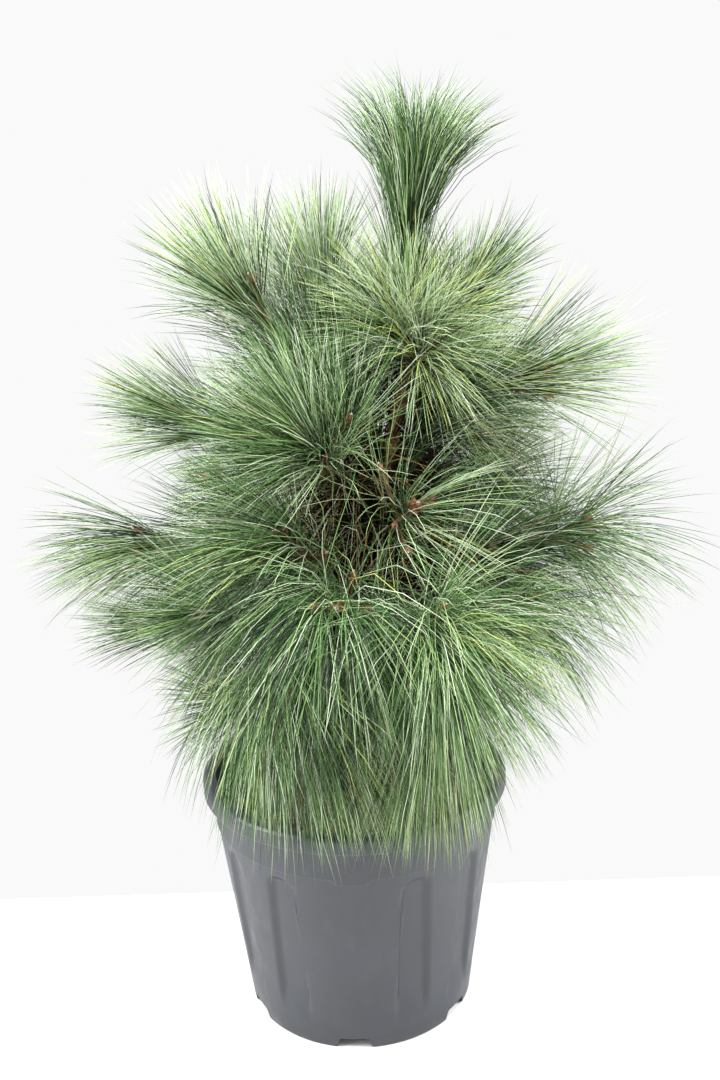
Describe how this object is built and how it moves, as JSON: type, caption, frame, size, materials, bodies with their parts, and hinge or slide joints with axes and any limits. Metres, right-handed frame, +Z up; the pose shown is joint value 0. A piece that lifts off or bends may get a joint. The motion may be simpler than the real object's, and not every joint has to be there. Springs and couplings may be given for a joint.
{
  "type": "potted wiethorst schwerin pine",
  "caption": "young long-needled pine with a leaning leader and whorls of soft drooping needle tufts, growing in a fluted round nursery pot",
  "frame": {"origin": "centre of the pot's flat underside, on the surface that it stands on", "axes": "+Z is up along the pot's axis, -Y is the front and +X is to the right, the way the trunk leans"},
  "size_m": [0.6368, 0.5861, 0.896],
  "materials": {
    "pot": "dark slate grey moulded plastic with a soft sheen and light scuffs",
    "soil": "dark crumbly potting soil with bits of bark",
    "bark": "orange-brown scaly young pine bark",
    "needles": "soft green needles with pale blue-white inner faces"
  },
  "bodies": {
    "root": {"pot": "pot", "soil": "soil", "trunk": "bark", "bough_upper_right": "bark", "bough_upper_left": "bark", "bough_upper_back": "bark", "bough_high_right": "bark", "bough_high_front_left": "bark", "bough_high_left": "bark", "bough_high_front_right": "bark", "bough_high_back": "bark", "bough_high_back_right": "bark", "bough_middle_left": "bark", "bough_middle_front_left": "bark", "bough_middle_front": "bark", "bough_middle_front_right": "bark", "bough_middle_right": "bark", "bough_middle_left_front": "bark", "bough_middle_back": "bark", "bough_middle_back_right": "bark", "bough_middle_back_left": "bark", "bough_low_right": "bark", "bough_low_left": "bark", "bough_low_left_front": "bark", "bough_low_front_left": "bark", "bough_low_front_right": "bark", "bough_low_back": "bark", "bough_low_back_right": "bark", "bough_low_back_left": "bark", "needles_upper_right": "needles", "needles_upper_left": "needles", "needles_upper_back": "needles", "needles_high_right": "needles", "needles_high_front_left": "needles", "needles_high_left": "needles", "needles_high_front_right": "needles", "needles_high_back": "needles", "needles_high_back_right": "needles", "needles_middle_left": "needles", "needles_middle_front_left": "needles", "needles_middle_front": "needles", "needles_middle_front_right": "needles", "needles_middle_right": "needles", "needles_middle_left_front": "needles", "needles_middle_back": "needles", "needles_middle_back_right": "needles", "needles_middle_back_left": "needles", "needles_low_right": "needles", "needles_low_left": "needles", "needles_low_left_front": "needles", "needles_low_front_left": "needles", "needles_low_front_right": "needles", "needles_low_back": "needles", "needles_low_back_right": "needles", "needles_low_back_left": "needles", "needles_crown_front_left": "needles", "needles_crown_front_right": "needles", "needles_crown_back": "needles", "needles_leader": "needles"}
  },
  "joints": []
}
